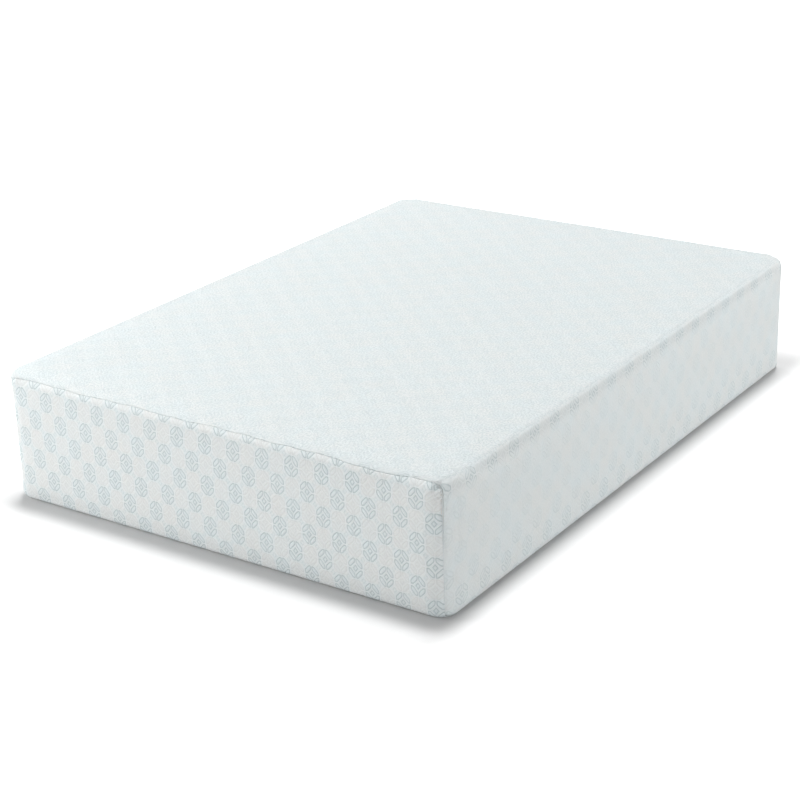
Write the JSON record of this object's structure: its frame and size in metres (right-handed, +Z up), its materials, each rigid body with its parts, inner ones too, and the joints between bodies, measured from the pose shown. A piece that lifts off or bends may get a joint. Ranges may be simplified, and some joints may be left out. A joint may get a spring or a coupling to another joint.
{
  "type": "memory foam mattress",
  "caption": "Thick rectangular foam mattress of layered foams in a fire barrier sock and a white patterned knit cover with a zip along one end.",
  "frame": {"origin": "middle of the underside, on the surface that the mattress rests on", "axes": "+X to the right across the mattress, seen from its foot; +Y from the foot to the head; +Z up, out of the sleeping surface"},
  "size_m": [1.3716, 1.9098, 0.3556],
  "materials": {
    "cover_knit": "white jacquard knit with pale blue and beige medallions",
    "underside_cloth": "plain matt white cloth",
    "seam_thread": "matt polyester thread",
    "barrier_knit": "fine off-white rib knit",
    "memory_foam": "fine-celled viscoelastic foam",
    "comfort_foam": "open-celled foam",
    "support_foam": "firm open-celled foam",
    "zip_tape": "woven polyester tape",
    "zip_coil": "nylon monofilament coil",
    "zip_metal": "white lacquered zinc"
  },
  "bodies": {
    "mattress": {"cover_wrap_panel": "cover_knit", "foot_end_panel": "cover_knit", "head_end_panel": "cover_knit", "lower_head_panel": "cover_knit", "underside_panel": "underside_cloth", "foot_end_seam": "seam_thread", "head_end_seam": "seam_thread", "underside_seam": "seam_thread", "fire_barrier_sock": "barrier_knit", "barrier_end_flap": "barrier_knit", "memory_foam_layer": "memory_foam", "comfort_foam_layer": "comfort_foam", "support_foam_core": "support_foam", "upper_zip_tape": "zip_tape", "lower_zip_tape": "zip_tape", "upper_zip_coil": "zip_coil", "lower_zip_coil": "zip_coil", "zip_bottom_stop": "zip_metal", "zip_top_stops": "zip_metal"},
    "zip_slider": {"zip_slider": "zip_metal"},
    "zip_pull": {"zip_pull": "zip_metal"}
  },
  "joints": [
    {"name": "zip_travel", "type": "slide", "parent": "mattress", "child": "zip_slider", "axis": [-1, 0, 0], "range_m": [0, 1.1932], "deforming": ["upper_zip_coil", "lower_zip_coil", "upper_zip_tape", "lower_zip_tape"]},
    {"name": "pull_hinge", "type": "hinge", "parent": "zip_slider", "child": "zip_pull", "pos_m": [0.6023, 0.95435, 0.06], "axis": [0, 0, -1], "range_deg": [0, 180]}
  ]
}
